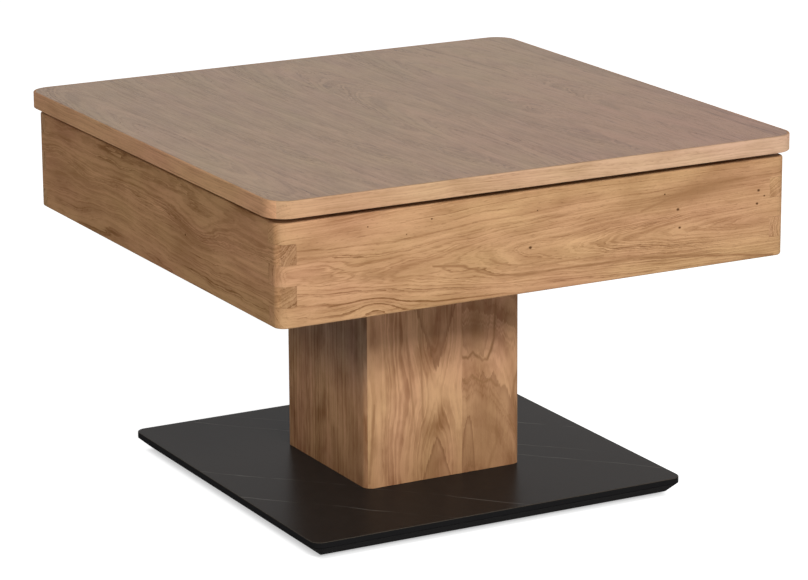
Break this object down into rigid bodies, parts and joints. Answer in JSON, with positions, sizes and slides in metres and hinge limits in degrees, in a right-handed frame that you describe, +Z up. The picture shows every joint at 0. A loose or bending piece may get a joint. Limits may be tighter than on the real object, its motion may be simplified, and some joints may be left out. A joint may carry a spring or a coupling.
{
  "type": "height-adjustable coffee table",
  "caption": "Square oak coffee table with a deep finger-jointed apron on a telescoping column and a dark slab base; the top slides up and locks, released by a paddle inside the apron.",
  "frame": {"origin": "on the floor under the centre of the column", "axes": "+Z up, -Y towards the front apron, which holds the paddle, +X to the right seen from the front"},
  "size_m": [0.75, 0.75, 0.5],
  "materials": {
    "oak_veneer": "satin-lacquered oak veneer",
    "oak_edge": "satin oak edge band",
    "oak_apron": "oiled solid oak",
    "oak_column": "oiled solid oak",
    "beech": "planed, bare",
    "ceramic": "opaque fired ceramic, satin, thin pale veins",
    "black_board": "matt black lacquered board",
    "black_plastic": "fine-grained black",
    "black_steel": "black powder coat",
    "steel": "mill",
    "zinc": "bright zinc plate",
    "chrome": "hard chrome",
    "aluminium": "die cast"
  },
  "bodies": {
    "base": {"base_carrier": "black_board", "base_slab": "ceramic", "floor_flange": "steel", "flange_bolt_1": "zinc", "flange_bolt_2": "zinc", "flange_bolt_3": "zinc", "flange_bolt_4": "zinc", "floor_glide_1": "black_plastic", "floor_glide_2": "black_plastic", "floor_glide_3": "black_plastic", "floor_glide_4": "black_plastic", "column_panel_front": "oak_column", "column_panel_rear": "oak_column", "column_panel_left": "oak_column", "column_panel_right": "oak_column", "column_top_cap": "black_board", "cap_screw_1": "zinc", "cap_screw_2": "zinc", "cap_screw_3": "zinc", "cap_screw_4": "zinc", "outer_guide_tube": "steel", "upper_guide_bush": "black_plastic", "gas_spring_foot": "zinc", "gas_spring_cylinder": "black_steel", "gas_spring_rod_guide": "steel"},
    "lift": {"top_panel": "oak_veneer", "top_edge_band": "oak_edge", "apron_front": "oak_apron", "apron_rear": "oak_apron", "apron_left": "oak_apron", "apron_right": "oak_apron", "corner_block_1": "beech", "corner_block_2": "beech", "corner_block_3": "beech", "corner_block_4": "beech", "block_screw_1": "zinc", "block_screw_2": "zinc", "block_screw_3": "zinc", "block_screw_4": "zinc", "mounting_plate": "black_steel", "plate_screw_1": "zinc", "plate_screw_2": "zinc", "plate_screw_3": "zinc", "plate_screw_4": "zinc", "inner_guide_tube": "black_steel", "lower_guide_bush": "black_plastic", "gas_spring_rod": "chrome", "gas_spring_piston": "steel", "release_head": "aluminium", "rocker_pin": "zinc", "paddle_bracket": "black_steel", "bracket_screw_1": "zinc", "bracket_screw_2": "zinc", "paddle_pin": "zinc", "release_cable": "black_plastic", "cable_clip_1": "black_plastic", "cable_clip_2": "black_plastic"},
    "paddle": {"release_paddle": "black_plastic"},
    "rocker": {"rocker_lever": "zinc"},
    "valve": {"valve_pin": "chrome"}
  },
  "joints": [
    {"name": "table_lift", "type": "slide", "parent": "base", "child": "lift", "axis": [0, 0, 1], "range_m": [0, 0.2]},
    {"name": "paddle_tilt", "type": "hinge", "parent": "lift", "child": "paddle", "pos_m": [0, -0.3152, 0.362], "axis": [1, 0, 0], "range_deg": [0, 10], "stiffness_Nm_per_rad": 2},
    {"name": "rocker_tilt", "type": "hinge", "parent": "lift", "child": "rocker", "pos_m": [0, 0.009, 0.4622], "axis": [1, 0, 0], "range_deg": [0, 15.5]},
    {"name": "valve_press", "type": "slide", "parent": "lift", "child": "valve", "axis": [0, 0, -1], "range_m": [0, 0.003]}
  ],
  "couplings": [
    {"joint": "rocker_tilt", "follows": "paddle_tilt", "ratio": 1.5385},
    {"joint": "valve_press", "follows": "paddle_tilt", "m_per_rad": 0.0166}
  ]
}
